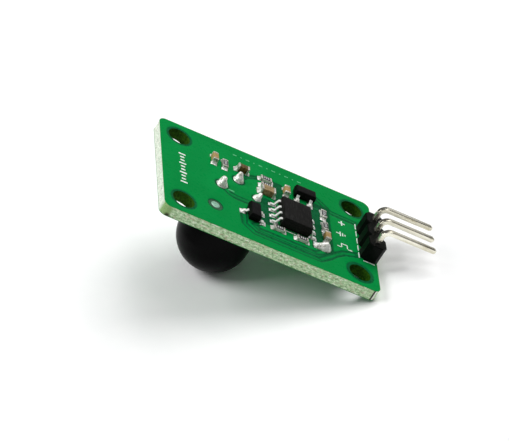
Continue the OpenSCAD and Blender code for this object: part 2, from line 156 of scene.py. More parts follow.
class Surface:
    """A material under construction. Its noises are sized in millimetres."""

    def __init__(self, name, metallic=0.0, specular=0.5):
        self.material = bpy.data.materials.new(name)
        self.material.use_nodes = True
        self.nodes = self.material.node_tree.nodes
        self.links = self.material.node_tree.links
        self.shader = self.nodes["Principled BSDF"]
        self.place = self.nodes.new("ShaderNodeTexCoord").outputs["Object"]
        self.normal = None
        self.shader.inputs["Metallic"].default_value = metallic
        self.shader.inputs["Specular IOR Level"].default_value = specular

    def node(self, kind, inputs, **settings):
        """A new node. Each input is a plain value or another node's output."""
        made = self.nodes.new(kind)
        for key, value in settings.items():
            setattr(made, key, value)
        for key, value in inputs.items():
            if isinstance(value, bpy.types.NodeSocket):
                self.links.new(value, made.inputs[key])
            else:
                made.inputs[key].default_value = value
        return made

    def scaled(self, size, stretch=(1, 1, 1), shift=0):
        scale = [1 / (MM * size * s) for s in stretch]
        mapping = {"Vector": self.place, "Scale": scale, "Location": (shift, shift, shift)}
        return self.node("ShaderNodeMapping", mapping).outputs[0]

    def noise(self, size, stretch=(1, 1, 1), detail=3.0, rough=0.55, shift=0):
        scaled = self.scaled(size, stretch, shift)
        inputs = {"Vector": scaled, "Scale": 1.0, "Detail": detail, "Roughness": rough}
        return self.node("ShaderNodeTexNoise", inputs).outputs[0]

    def near(self, point, reach, core, axes=(1, 1, 1)):
        """1 within the core distance of a point and 0 past the reach, in millimetres along the axes."""
        inputs = {0: self.place, 1: axes}
        place = self.node("ShaderNodeVectorMath", inputs, operation="MULTIPLY").outputs[0]
        inputs = {0: place, 1: [value * MM for value in point]}
        away = self.node("ShaderNodeVectorMath", inputs, operation="DISTANCE").outputs["Value"]
        return self.span(away, 1.0, 0.0, core * MM, reach * MM)

    def ramp(self, factor, *stops):
        """A colour for each factor. Each stop is its place and a colour from 0 to 255."""
        made = self.node("ShaderNodeValToRGB", {"Fac": factor})
        elements = made.color_ramp.elements
        while len(elements) < len(stops):
            elements.new(0.5)
        for element, (position, colour) in zip(elements, stops):
            element.position = position
            element.color = srgb(*colour)
        return made.outputs[0]

    def span(self, factor, low, high, start=0.3, end=0.7):
        inputs = {"Value": factor, "From Min": start, "From Max": end, "To Min": low, "To Max": high}
        return self.node("ShaderNodeMapRange", inputs).outputs[0]

    def mix(self, factor, first, second):
        """Goes from the first colour to the second, which is a node's output or a 0 to 255 colour."""
        if isinstance(second, tuple):
            second = srgb(*second)
        return self.node("ShaderNodeMix", {0: factor, 6: first, 7: second}, data_type="RGBA").outputs[2]

    def bump(self, height, depth):
        """Adds relief: depth is the height in millimetres of the whole range of the noise."""
        inputs = {"Height": height, "Distance": depth * MM, "Strength": 1.0}
        if self.normal is not None:
            inputs["Normal"] = self.normal
        self.normal = self.node("ShaderNodeBump", inputs).outputs[0]

    def done(self, colour, roughness):
        for socket, value in (("Base Color", colour), ("Roughness", roughness), ("Normal", self.normal)):
            self.links.new(value, self.shader.inputs[socket])
        return self.material


def plain_surface(name, dark, light, grain, roughness, bump=0.006, metallic=0.0, specular=0.5):
    """Two shades mixed in grains of the given size, with matching gloss and relief."""
    made = Surface(name, metallic, specular)
    tone = made.noise(grain)
    fine = made.noise(grain * 0.25, shift=7)
    made.bump(fine, bump)
    made.bump(tone, bump * 2)
    return made.done(made.ramp(tone, (0.3, dark), (0.7, light)), made.span(fine, *roughness))


def mask_surface():
    made = Surface("solder_mask", specular=0.01)
    cloud = made.noise(5, detail=2)
    speck = made.noise(0.35, shift=3)
    copper = made.ramp(cloud, (0.3, (2, 132, 60)), (0.7, (5, 141, 66)))
    bare = made.ramp(speck, (0.3, (8, 82, 46)), (0.7, (18, 102, 60)))
    cover = made.node("ShaderNodeAttribute", {}, attribute_name="copper").outputs["Fac"]
    colour = made.mix(cover, bare, copper)
    speckled = made.mix(made.span(speck, 0.0, 0.05, 0.55, 0.75), colour, (30, 120, 70))
    made.bump(made.noise(0.9, detail=2), 0.006)
    made.bump(speck, 0.002)
    return made.done(speckled, made.span(speck, 0.24, 0.36))


def laminate_surface():
    """Cut glass fibre: mottled, with warm resin spots, dark pits and a stain at the near +X corner. Painted
    light: a painted shadow at the foot of that corner, dark and pale painted reflection streaks at the near
    -X corner, and a painted highlight that makes the end face at +X paler.
    """
    made = Surface("fibre_laminate", specular=0.15)
    mottle = made.noise(0.34, (1.5, 1.5, 0.8), detail=3, rough=0.6)
    resin = made.noise(0.5, (1.3, 1.3, 0.8), detail=2, shift=5)
    pits = made.noise(0.17, detail=2, shift=11)
    colour = made.ramp(mottle, (0.32, (122, 158, 108)), (0.45, (178, 214, 164)),
                       (0.56, (208, 236, 192)), (0.68, (252, 255, 242)))
    colour = made.mix(made.span(resin, 0.0, 0.5, 0.54, 0.7), colour, (196, 160, 140))
    stain = made.near((BOARD_HALF.x, BOARD_HALF.y, TOP / 2), 1.5, 1.1)
    colour = made.mix(stain, colour, (148, 184, 120))
    # chip: a painted shadow, a dark patch at the foot of the near +X corner where the board meets the
    # table.
    chip = made.near((BOARD_HALF.x - 1, BOARD_HALF.y, 0.1), 0.5, 0.2)
    colour = made.mix(chip, colour, (58, 66, 40))
    # Painted reflection: dark, pale and dark upright streaks on the rounded near -X corner, as if the
    # corner mirrored dark and light surroundings.
    dark, pale = (40, 46, 30), (245, 248, 240)
    for x, tone in ((-14.75, dark), (-15.0, pale), (-15.3, dark)):
        reflection_streak = made.near((x, BOARD_HALF.y - 0.1, 0), 0.2, 0.1, (1, 1, 0))
        colour = made.mix(reflection_streak, colour, tone)
    # Painted highlight: the end face at +X is mixed towards near-white, as the side that faces the key
    # lamp.
    along = made.node("ShaderNodeSeparateXYZ", {"Vector": made.place}).outputs["X"]
    end = made.span(along, 0.0, 0.6, (BOARD_HALF.x - 0.15) * MM, (BOARD_HALF.x - 0.02) * MM)
    colour = made.mix(end, colour, (250, 250, 248))
    colour = made.mix(made.span(pits, 0.0, 0.85, 0.6, 0.7), colour, (66, 76, 54))
    made.bump(mottle, 0.04)
    made.bump(pits, 0.03)
    return made.done(colour, made.span(resin, 0.5, 0.75))


def solder_surface():
    made = Surface("solder", metallic=0.3)
    cast = made.noise(0.4, detail=4, rough=0.6)
    inputs = {"Vector": made.scaled(0.16), "Scale": 1.0}
    crystal = made.node("ShaderNodeTexVoronoi", inputs).outputs["Distance"]
    colour = made.ramp(cast, (0.3, (78, 72, 56)), (0.4, (218, 218, 206)), (0.5, (255, 255, 250)))
    made.bump(cast, 0.05)
    made.bump(crystal, 0.02)
    return made.done(colour, made.span(cast, 0.42, 0.24))


def pin_surface():
    made = Surface("pin_metal", metallic=0.9)
    drawn = made.noise(0.3, (12, 1, 1), detail=4, rough=0.6)
    stain = made.noise(1.2, (2, 1, 1), shift=9)
    colour = made.ramp(drawn, (0.3, (196, 190, 166)), (0.6, (246, 243, 228)))
    colour = made.mix(made.span(stain, 0.0, 0.4, 0.5, 0.7), colour, (184, 172, 130))
    made.bump(drawn, 0.012)
    made.bump(made.noise(0.12, shift=2), 0.004)
    return made.done(colour, made.span(stain, 0.18, 0.3))


def lens_surface():
    made = Surface("lens_plastic", specular=0.05)
    cloud = made.noise(2.2, detail=3)
    grain = made.noise(0.12, detail=2, shift=4)
    colour = made.ramp(cloud, (0.3, (2, 2, 2)), (0.7, (4, 4, 4)))
    made.bump(grain, 0.0025)
    made.bump(made.noise(1.6, detail=2, shift=8), 0.012)
    return made.done(colour, made.span(cloud, 0.3, 0.36))


def moulded_surface(name, dark, light, streaks):
    """Moulding compound: fine grit, and faint rubbed streaks along Y."""
    made = Surface(name, specular=0.1)
    grit = made.noise(0.07, detail=2)
    rub = made.noise(0.16, (1, 9, 1), detail=3, rough=0.6, shift=6)
    patch = made.noise(1.6, detail=2, shift=2)
    worn = tuple(value + 40 for value in light)
    colour = made.ramp(patch, (0.3, dark), (0.7, light))
    colour = made.mix(made.span(rub, 0.0, streaks, 0.52, 0.78), colour, worn)
    made.bump(grit, 0.008)
    made.bump(rub, 0.004)
    return made.done(colour, made.span(grit, 0.5, 0.68))


def print_surface():
    made = Surface("legend_ink", specular=0.25)
    worn = made.noise(0.22, detail=3)
    colour = made.ramp(worn, (0.25, (150, 200, 170)), (0.42, (226, 238, 230)), (0.6, (246, 250, 247)))
    made.bump(worn, 0.006)
    return made.done(colour, made.span(worn, 0.5, 0.7))


MASK_GREEN = mask_surface()
LAMINATE = laminate_surface()
SOLDER = solder_surface()
PIN_METAL = pin_surface()
LENS_BLACK = lens_surface()
CHIP_BLACK = moulded_surface("chip_mould", (13, 13, 12), (22, 21, 20), 0.5)
SOT_BLACK = moulded_surface("small_mould", (5, 5, 5), (10, 10, 10), 0.2)
LEGEND_WHITE = print_surface()
# Plain materials: dark shade, light shade, grain and roughness, then relief, metallic and specular
# level where they aren't 0.006, 0 and 0.5
PLAIN = {
    "header_nylon": ((2, 4, 3), (7, 10, 8), 0.5, (0.38, 0.55), 0.006, 0, 0.08),
    # Mounting hole walls: dark olive, partly the wall's own colour and partly painted shade for the dim
    # inside of the holes.
    "hole_wall_olive_and_shade": ((22, 58, 2), (52, 98, 12), 0.3, (0.5, 0.7), 0.02, 0, 0.06),
    "bare_board": ((8, 64, 34), (22, 88, 50), 0.4, (0.35, 0.5)),
    "dull_tin": ((118, 168, 142), (166, 206, 186), 0.3, (0.35, 0.5), 0.006, 0.3),
    "tinned_copper": ((196, 200, 200), (240, 242, 242), 0.4, (0.22, 0.4), 0.006, 0.85),
    "lead_tin": ((222, 226, 220), (254, 255, 252), 0.25, (0.2, 0.36), 0.006, 0.2),
    "end_cap_tin": ((116, 110, 92), (250, 250, 242), 0.22, (0.25, 0.45), 0.012, 0.55),
    "tan_ceramic": ((150, 122, 72), (188, 160, 108), 0.3, (0.35, 0.5), 0.006, 0, 0.2),
    "brown_ceramic": ((64, 48, 16), (118, 98, 58), 0.35, (0.3, 0.45), 0.006, 0, 0.15),
    "beige_ceramic": ((116, 96, 56), (172, 150, 112), 0.35, (0.35, 0.5), 0.006, 0, 0.15),
    "alumina": ((206, 206, 198), (238, 238, 232), 0.2, (0.5, 0.7)),
    "resistor_glaze": ((26, 27, 28), (44, 45, 46), 0.25, (0.25, 0.42)),
    "faint_ink": ((36, 158, 92), (112, 204, 150), 0.2, (0.5, 0.7), 0.006, 0, 0.1),
    "tick_ink": ((196, 198, 196), (232, 234, 232), 0.1, (0.5, 0.7), 0.004),
    "can_steel": ((176, 178, 176), (214, 216, 214), 0.8, (0.28, 0.42), 0.005, 0.9),
    "gold_plate": ((212, 170, 92), (240, 206, 128), 0.3, (0.2, 0.34), 0.004, 0.95),
    "seal_glass": ((60, 92, 74), (104, 138, 116), 0.3, (0.12, 0.25)),
    "silicon_window": ((44, 48, 60), (70, 76, 92), 1.2, (0.08, 0.18), 0.003, 0.5),
    "white_ceramic": ((220, 218, 210), (242, 241, 236), 0.3, (0.5, 0.7)),
    "heat_element": ((150, 138, 110), (188, 176, 146), 0.25, (0.4, 0.6)),
    "silicon_die": ((70, 78, 92), (118, 128, 146), 0.2, (0.15, 0.3), 0.004, 0.6),
    "bare_copper": ((176, 104, 62), (214, 144, 98), 0.4, (0.25, 0.4), 0.005, 0.95),
}
PLAIN = {name: plain_surface(name, *row) for name, row in PLAIN.items()}


# ---- shells: (vertices, faces) of one closed surface, in millimetres ----

def outline(half_x, half_y, corner, steps=5):
    """A rectangle with round corners, anticlockwise."""
    corner = min(corner, half_x * 0.999, half_y * 0.999)
    points = []
    for quarter, (x, y) in enumerate(((1, 1), (-1, 1), (-1, -1), (1, -1))):
        for step in range(steps + 1):
            angle = (quarter + step / steps) * math.pi / 2
            points.append((x * (half_x - corner) + corner * math.cos(angle),
                           y * (half_y - corner) + corner * math.sin(angle)))
    return points


def circle(centre, radius, steps):
    turns = [2 * math.pi * i / steps for i in range(steps)]
    return [(centre[0] + radius * math.cos(t), centre[1] + radius * math.sin(t)) for t in turns]


def moved(points, centre, angle=0.0):
    """Points turned by an angle in degrees, then moved to a centre."""
    cos, sin = math.cos(math.radians(angle)), math.sin(math.radians(angle))
    return [(centre[0] + x * cos - y * sin, centre[1] + x * sin + y * cos) for x, y in points]


def band(first, second, count):
    """Faces between two rings of points. first and second are the numbers of their first points."""
    pairs = [(i, (i + 1) % count) for i in range(count)]
    return [(first + i, first + after, second + after, second + i) for i, after in pairs]


def stack(rings):
    """Joins rings of the same number of points, from the lowest to the highest, and closes both ends."""
    count = len(rings[0])
    verts = [Vector(point) for ring in rings for point in ring]
    faces = []
    for level in range(len(rings) - 1):
        faces += band(level * count, (level + 1) * count, count)
    faces.append(tuple(reversed(range(count))))
    faces.append(tuple(range(len(verts) - count, len(verts))))
    return verts, faces


def level_stack(levels, half_x, half_y, corner, centre=(0, 0)):
    """A stack of rounded rectangles. Each level is its z and how far its sides are drawn in."""
    rings = []
    for z, inset in levels:
        loop = outline(half_x - inset, half_y - inset, corner)
        rings.append([(centre[0] + x, centre[1] + y, z) for x, y in loop])
    return stack(rings)


def rounded_block(low, high, corner, edge):
    """A box with round upright corners and rounded edges at its top and bottom."""
    turns = [i / 3 * math.pi / 2 for i in range(4)]
    curve = [(edge * (1 - math.cos(turn)), edge * (1 - math.sin(turn))) for turn in turns]
    levels = [(low[2] + rim, inset) for rim, inset in curve]
    levels += [(high[2] - rim, inset) for rim, inset in reversed(curve)]
    centre = ((low[0] + high[0]) / 2, (low[1] + high[1]) / 2)
    return level_stack(levels, (high[0] - low[0]) / 2, (high[1] - low[1]) / 2, corner, centre)


def moulded_block(half_x, half_y, low, high, edge):
    """A moulded body: sides that slope away from a parting ridge at mid height, and softened edges."""
    middle, slope, ridge = (low + high) / 2, (high - low) * 0.09, 0.02
    upper = [(high - edge * (1 - math.cos(t)), slope + edge * (1 - math.sin(t)))
             for t in (math.pi / 2, math.pi / 3, math.pi / 6, 0)]
    levels = [(low, slope + 0.02), (low + 0.02, slope), (middle - ridge, ridge), (middle - ridge, 0),
              (middle + ridge, 0), (middle + ridge, ridge), *upper]
    return level_stack(levels, half_x, half_y, 0.07)


def lathe(profile, centre, steps):
    """Turns (radius, z) points about an upright axis. The profile starts and ends on the axis."""
    verts = [Vector((centre[0], centre[1], profile[0][1]))]
    for radius, z in profile[1:-1]:
        verts += [Vector((*point, z)) for point in circle(centre, radius, steps)]
    verts.append(Vector((centre[0], centre[1], profile[-1][1])))
    last = len(verts) - 1
    faces = [(0, 1 + (i + 1) % steps, 1 + i) for i in range(steps)]
    for row in range(len(profile) - 3):
        faces += band(1 + row * steps, 1 + (row + 1) * steps, steps)
    faces += [(last, last - steps + i, last - steps + (i + 1) % steps) for i in range(steps)]
    return verts, faces


def rounded_path(points, radius, steps):
    """A path of (x, z) points with an arc in place of each bend. The last straight may be used up."""
    points = [Vector(point) for point in points]
    path = points[:1]
    for before, bend, after in zip(points, points[1:], points[2:]):
        back, ahead = (before - bend).normalized(), (after - bend).normalized()
        half = back.angle(ahead) / 2
        reach = min(radius / math.tan(half), (before - bend).length * 0.49)
        if after is not points[-1]:
            reach = min(reach, (after - bend).length * 0.49)
        turn = math.pi / 2 - half
        core = bend + (back + ahead).normalized() * (reach / math.cos(half))
        size = reach * math.tan(half)
        start = (bend + back * reach - core) / size
        side = (bend + ahead * reach - core) / size
        across = (side - start * start.dot(side)).normalized()
        for step in range(steps + 1):
            angle = 2 * turn * step / steps
            path.append(core + (start * math.cos(angle) + across * math.sin(angle)) * size)
    return path + points[-1:]


def mitred(path):
    """Each point of a path, and the way to its left, which is longer at a bend."""
    for i, point in enumerate(path):
        before = (point - path[i - 1]).normalized() if i else (path[1] - point).normalized()
        after = (path[i + 1] - point).normalized() if i + 1 < len(path) else before
        along = (before + after).normalized()
        yield point, Vector((-along.y, along.x)) / max(0.5, along.dot(after))


def bar(path, width, thickness, edge, share=1.0, taper=0.0):
    """A bar of rounded section along a path of (x, z) points, its width along Y.

    share is how much of the section is left at the far end, and taper the length that narrows."""
    path = [Vector(point) for point in path]
    scales = [1.0] * len(path)
    if taper:
        inward = (path[-2] - path[-1]).normalized()
        path[-1:] = [path[-1] + inward * taper, path[-1] + inward * taper * 0.3, path[-1]]
        scales[-1:] = [1.0, 1 - (1 - share) * 0.55, share]
    rings = []
    for scale, (point, left) in zip(scales, mitred(path)):
        section = outline(width / 2 * scale, thickness / 2 * scale, edge * scale, 3)
        rings.append([(point.x + left.x * v, -u, point.y + left.y * v) for u, v in section])
    return stack(rings)


def inside(points, loop):
    """Which of the points lie inside a closed loop."""
    x, y = points[:, 0], points[:, 1]
    odd = np.zeros(len(points), bool)
    for (x1, y1), (x2, y2) in zip(loop, loop[1:] + loop[:1]):
        if y1 != y2:
            odd ^= ((y1 > y) != (y2 > y)) & (x < (x2 - x1) * (y - y1) / (y2 - y1) + x1)
    return odd


def flat_triangles(outer, holes, lines, points):
    """Fills a loop with triangles round its holes, along the given lines and through the points."""
    coords, edges = [], []
    for loop in [outer, *holes, *lines]:
        first, count = len(coords), len(loop)
        coords += [Vector(point) for point in loop]
        closed = loop is outer or any(loop is hole for hole in holes) or loop[0] == loop[-1]
        edges += [(first + i, first + (i + 1) % count) for i in range(count if closed else count - 1)]
    coords += [Vector(point) for point in points]
    found = geometry.delaunay_2d_cdt(coords, edges, [], 0, 1e-4)
    flat = np.array([point[:] for point in found[0]])
    corners = np.array(found[2])
    middles = flat[corners].mean(axis=1)
    solid = inside(middles, outer)
    for hole in holes:
        solid &= ~inside(middles, hole)
    corners = corners[solid]
    first, second, third = (flat[corners[:, i]] for i in range(3))
    area = np.cross(second - first, third - first)
    corners[area < 0] = corners[area < 0][:, ::-1]
    used, corners = np.unique(corners, return_inverse=True)
    return flat[used], corners.reshape(-1, 3)


def plate(outer, holes, low, top, lines=(), points=(), levels=1, shift=lambda x, y, z: 0.0):
    """A closed sheet with holes. top(x, y) is its upper face and low the height of its lower one.

    With levels, the walls have rows of points between the faces, which shift(x, y, z) moves inward."""
    flat, corners = flat_triangles(outer, holes, lines, points)
    count = len(flat)
    heights = top(flat[:, 0], flat[:, 1])
    verts = [Vector((x, y, z)) for (x, y), z in zip(flat, heights)]
    verts += [Vector((x, y, low)) for x, y in flat]
    faces = [tuple(face) for face in corners.tolist()]
    faces += [(c + count, b + count, a + count) for a, b, c in corners.tolist()]
    around = {(a, b) for face in corners.tolist() for a, b in zip(face, face[1:] + face[:1])}
    rim = sorted((a, b) for a, b in around if (b, a) not in around)
    inward = {}
    for a, b in rim:
        run = flat[b] - flat[a]
        for end in (a, b):
            inward[end] = inward.get(end, Vector((0, 0))) + Vector((-run[1], run[0])).normalized()
    column = {}
    for i, push in inward.items():
        column[i] = [i + count]
        for level in range(1, levels):
            x, y = flat[i]
            z = low + (heights[i] - low) * level / levels
            far = shift(x, y, z) * push.normalized()
            column[i].append(len(verts))
            verts.append(Vector((x + far.x, y + far.y, z)))
        column[i].append(i)
    for a, b in rim:
        for level in range(levels):
            below, above = level, level + 1
            faces.append((column[a][below], column[b][below], column[b][above], column[a][above]))
    return verts, faces


def roughen(shell, amount, size, seed):
    """Moves each vertex by smooth noise of up to the given amount."""
    verts, faces = shell
    shift = Vector((seed * 3.7, seed * 5.1, seed * 7.3))
    return [v + noise.noise_vector(v / size + shift) * amount for v in verts], faces


def heap(pad, core, height):
    """Solder drawn up from a pad to a core. Each is centre x, centre y, half_x and half_y."""
    rings = []
    for share in (step / 7 for step in range(8)):
        cx, cy, half_x, half_y = (a + (b - a) * share for a, b in zip(pad, core))
        loop = moved(outline(half_x, half_y, min(half_x, half_y) * 0.75), (cx, cy))
        rings.append([(x, y, height * share ** 1.7) for x, y in loop])
    base = [(x, y, -0.02) for x, y, _ in rings[0]]
    return stack([base, *rings])


# ---- pieces: shells with their materials, made into objects that ride on the frame ----

class Piece:
    def __init__(self, name):
        self.name = name
        self.verts, self.faces, self.indices, self.materials = [], [], [], []

    def add(self, shell, material, at=Matrix.Identity(4)):
        verts, faces = shell
        if material not in self.materials:
            self.materials.append(material)
        first = len(self.verts)
        self.verts += [at @ v for v in verts]
        self.faces += [[first + i for i in face] for face in faces]
        self.indices += [self.materials.index(material)] * len(faces)
        return self

    def place(self, slot, *nodes, sharp=35):
        mesh = bpy.data.meshes.new(self.name)
        mesh.from_pydata([v * MM for v in self.verts], [], self.faces)
        for material in self.materials:
            mesh.materials.append(material)
        mesh.polygons.foreach_set("material_index", self.indices)
        mesh.polygons.foreach_set("use_smooth", [True] * len(self.faces))
        mesh.set_sharp_from_angle(angle=math.radians(sharp))
        piece = bpy.data.objects.new(self.name, mesh)
        bpy.context.scene.collection.objects.link(piece)
        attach(piece, "root")
        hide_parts(*nodes)
        return piece


# ---- the board ----

def board_outline(inset=0.0):
    """The board's outline, with a point every quarter of a millimetre."""
    loop = outline(BOARD_HALF.x - inset, BOARD_HALF.y - inset, BOARD_CORNER - inset, 10)
    fine = []
    for (x1, y1), (x2, y2) in zip(loop, loop[1:] + loop[:1]):
        parts = max(1, round(math.hypot(x2 - x1, y2 - y1) / 0.25))
        fine += [(x1 + (x2 - x1) * i / parts, y1 + (y2 - y1) * i / parts) for i in range(parts)]
    return fine


def track_distance(x, y, tracks):
    """Distance to the nearest track's edge; negative on copper."""
    nearest = np.full(np.shape(x), 99.0)
    for width, route in tracks:
        for (x1, y1), (x2, y2) in zip(route, route[1:]):
            length = (x2 - x1) ** 2 + (y2 - y1) ** 2
            along = np.clip(((x - x1) * (x2 - x1) + (y - y1) * (y2 - y1)) / length, 0, 1)
            away = np.hypot(x - x1 - along * (x2 - x1), y - y1 - along * (y2 - y1))
            nearest = np.minimum(nearest, away - width / 2)
    return nearest


def rise(distance, soft=SOFT_EDGE):
    """0 before a boundary and 1 past it, with a soft edge."""
    return np.clip(distance / soft, 0, 1)


def copper_under_mask(x, y, tracks, keepouts, rings):
    """1 where the mask lies on copper, 0 where it lies on bare laminate."""
    to_track = track_distance(x, y, tracks)
    pour = rise(to_track - CLEARANCE + SOFT_EDGE)
    for (low_x, low_y), (high_x, high_y) in keepouts:
        away = np.maximum(np.maximum(low_x - x, x - high_x), np.maximum(low_y - y, y - high_y))
        pour = np.minimum(pour, rise(away))
    for (cx, cy), radius, soft in rings:
        pour = np.minimum(pour, rise(np.hypot(x - cx, y - cy) - radius, soft))
    return np.maximum(pour, rise(-to_track))


def offset_route(route, distance):
    """The route's line moved sideways, with its bends mitred."""
    route = [Vector(point) for point in route]
    return [tuple(point + left * distance) for point, left in mitred(route)]


def relief_lines(tracks, keepouts, rings):
    """Lines along every boundary between copper and bare laminate."""
    lines = []
    for width, route in tracks:
        for side in (-1, 1):
            for away in (0, SOFT_EDGE, CLEARANCE - SOFT_EDGE, CLEARANCE):
                lines.append(offset_route(route, side * (width / 2 + away)))
    for (low_x, low_y), (high_x, high_y) in keepouts:
        for grow in (0, SOFT_EDGE):
            x1, y1, x2, y2 = low_x - grow, low_y - grow, high_x + grow, high_y + grow
            corners = [(x1, y1), (x2, y1), (x2, y2), (x1, y2)]
            lines.append(corners + corners[:1])
    for centre, radius, soft in rings:
        for grow in (0, soft):
            loop = circle(centre, radius + grow, 48)
            lines.append(loop + loop[:1])
    return lines


def at_board(x, y, angle=0):
    """A frame on the board's upper face, turned by an angle in degrees."""
    return Matrix.Translation((x, y, TOP)) @ Matrix.Rotation(math.radians(angle), 4, "Z")


def node_frame(node, along_x, along_y):
    """A CAD node's frame on the board, long side, short side and height. The frame's angle depends
    on whether the node is longer along X or along Y."""
    low, high = cad_box(node)
    size = high - low
    angle = along_y if size.y > size.x else along_x
    at = at_board((low.x + high.x) / 2, (low.y + high.y) / 2, angle)
    return at, max(size.x, size.y), min(size.x, size.y), size.z


def part_frame(name):
    """For a two-ended part: X runs along its length."""
    return node_frame(name + "_ends", 0, 90)


def sot_frame(name):
    """For a three-lead package: X points to its single lead."""
    return node_frame(name + "_body", -90, 0)


RESISTORS = [f"resistor_{i}" for i in range(1, 8)]
CAPACITORS = [f"capacitor_{i}" for i in range(1, 6)]
SOT_NAMES = ("regulator", "transistor")


def chip_lead_frames():
    for side in (0, 180):
        for i in (-1.5, -0.5, 0.5, 1.5):
            yield at_board(CHIP.x, CHIP.y, side) @ Matrix.Translation((0, i * CHIP_PITCH, 0))


def sot_lead_frames(name):
    at = sot_frame(name)[0]
    for angle, shift in ((0, 0), (180, -SOT_PITCH), (180, SOT_PITCH)):
        yield at @ Matrix.Translation((0, shift, 0)) @ Matrix.Rotation(math.radians(angle), 4, "Z")


def pad_frames():
    """Every surface pad: its part's frame, and its centre's X, half length and half width in it."""
    for name in RESISTORS + CAPACITORS:
        at, length, width, _ = part_frame(name)
        for side in (-1, 1):
            yield at, side * (length / 2 + END_PAD_SHIFT), END_PAD_HALF, width / 2 + 0.05
    for at in chip_lead_frames():
        yield at, *CHIP_PAD
    for name in SOT_NAMES:
        for at in sot_lead_frames(name):
            yield at, *SOT_PAD
    for place in JUMPER_PADS:
        yield at_board(*place), *JUMPER_PAD


def pad_loop(at, cx, half_x, half_y):
    """The opening in the mask round a pad."""
    loop = outline(half_x + PAD_GAP, half_y + PAD_GAP, PAD_CORNER, 3)
    return [tuple((at @ Vector((cx + x, y, 0))).xy) for x, y in loop]


def grid(spacing, low=(-15.4, -9.6), high=(15.4, 9.6)):
    """Points spread over a rectangle in rows that wander a little."""
    columns = int((high[0] - low[0]) / spacing)
    rows = int((high[1] - low[1]) / spacing)
    for i in range(columns + 1):
        for j in range(rows + 1):
            point = Vector((low[0] + i * spacing, low[1] + j * spacing, 0))
            yield tuple((point + noise.noise_vector(point * 3) * spacing * 0.2).xy)


def mask_sheet(name, slot, nodes, holes, tracks, keepouts, rings, low, face, sign):
    """One side's solder mask. It dips where no copper lies under it, and keeps each vertex's share
    of copper as an attribute for its colour. sign is its outward direction."""
    def cover(x, y):
        return copper_under_mask(x, y, tracks, keepouts, rings)

    def surface(x, y):
        return face - sign * MASK_DIP * (1 - cover(x, y))

    lines = relief_lines(tracks, keepouts, rings)
    sheet = plate(board_outline(), holes, low, surface, lines, grid(0.55))
    if sign < 0:
        sheet = (sheet[0], [tuple(reversed(face)) for face in sheet[1]])
    mesh = Piece(name).add(sheet, MASK_GREEN).place(slot, *nodes).data
    coords = np.array([vertex.co for vertex in mesh.vertices]) / MM
    copper = cover(coords[:, 0], coords[:, 1])
    mesh.attributes.new("copper", "FLOAT", "POINT").data.foreach_set("value", copper.astype(np.float32))


def drill_loops(sensor_radii, header_radius, grow=0.0):
    """Circles at the mounting holes, which grow can widen, the sensor's leads and the pins."""
    loops = [circle(place, HOLE_RADIUS + grow, 56) for place in MOUNT_PLACES]
    loops += [circle(place, radius, 32) for place, radius in zip(LEAD_PLACES, sensor_radii)]
    loops += [circle(place, header_radius, 32) for place in PIN_PLACES]
    return loops


def flat_face(height):
    """A flat face for plate()."""
    return lambda x, y: np.full(np.shape(x), height)


def make_core():
    """The laminate, with sawn and drilled walls that are a little uneven."""
    def rough_cut(x, y, z):
        coarse = noise.noise(Vector((x * 0.9, y * 0.9, z * 5)))
        fine = noise.noise(Vector((x * 4 + 20, y * 4, z * 14)))
        return 0.028 + 0.022 * coarse + 0.016 * fine

    holes = drill_loops([SENSOR_DRILL / 2] * 3, HEADER_DRILL / 2, 0.01)
    top = flat_face(BOARD_HIGH.z)
    core = plate(board_outline(0.01), holes, BOARD_LOW.z, top, levels=9, shift=rough_cut)
    board = Piece("board_core").add(core, LAMINATE).place("laminate", "board_laminate", sharp=60)
    # Material 1 goes on the mounting holes' walls: a dark olive that is partly painted shade.
    board.data.materials.append(PLAIN["hole_wall_olive_and_shade"])
    board.data.materials.append(PLAIN["bare_board"])
    for face in board.data.polygons:
        middle = (face.center / MM).xy
        if abs(face.normal.z) > 0.9:
            face.material_index = 2
        elif any((middle - Vector(place)).length < HOLE_RADIUS + 0.2 for place in MOUNT_PLACES):
            face.material_index = 1


def make_masks():
    holes = drill_loops([radius + PAD_GAP for radius in CONE_RADII], HEADER_PAD + PAD_GAP)
    holes += [pad_loop(*pad) for pad in pad_frames()] + [circle(FIDUCIAL, FIDUCIAL_OPENING, 36)]
    rings = [(place, radius + 0.25, SOFT_EDGE) for place, radius in zip(LEAD_PLACES, CONE_RADII)]
    rings += [(place, HEADER_PAD + 0.25, SOFT_EDGE) for place in PIN_PLACES]
    for place in MOUNT_PLACES:
        gap = 0.4 if place[0] < 0 < place[1] else 0.25
        rings.append((place, HOLE_RADIUS + gap, 0.18))
    rings.append((FIDUCIAL, FIDUCIAL_OPENING + 0.1, SOFT_EDGE))
    mask_sheet("mask_component_side", "solder_mask", ("solder_mask_top", "copper_tracks"), holes,
               TRACKS, KEEPOUTS, rings, BOARD_HIGH.z, TOP, 1)

    holes = drill_loops([UNDER_PAD + PAD_GAP] * 3, HEADER_PAD + PAD_GAP)
    rings = [(place, 1.1, SOFT_EDGE) for place in LEAD_PLACES + PIN_PLACES]
    rings += [(place, HOLE_RADIUS + 0.35, SOFT_EDGE) for place in MOUNT_PLACES]
    mask_sheet("mask_sensor_side", "solder_mask", ("solder_mask_bottom",), holes,
               UNDER_TRACKS, (), rings, BOARD_LOW.z, 0.0, -1)


def annulus(centre, outer, inner, low, high):
    """A flat ring with softened edges."""
    edge, steps = 0.015, 48
    profile = ((inner, low), (outer - edge, low), (outer, low + edge), (outer, high - edge),
               (outer - edge, high), (inner, high))
    verts = [Vector((*point, z)) for radius, z in profile for point in circle(centre, radius, steps)]
    faces = []
    for row in range(len(profile)):
        faces += band(row * steps, (row + 1) % len(profile) * steps, steps)
    return verts, faces


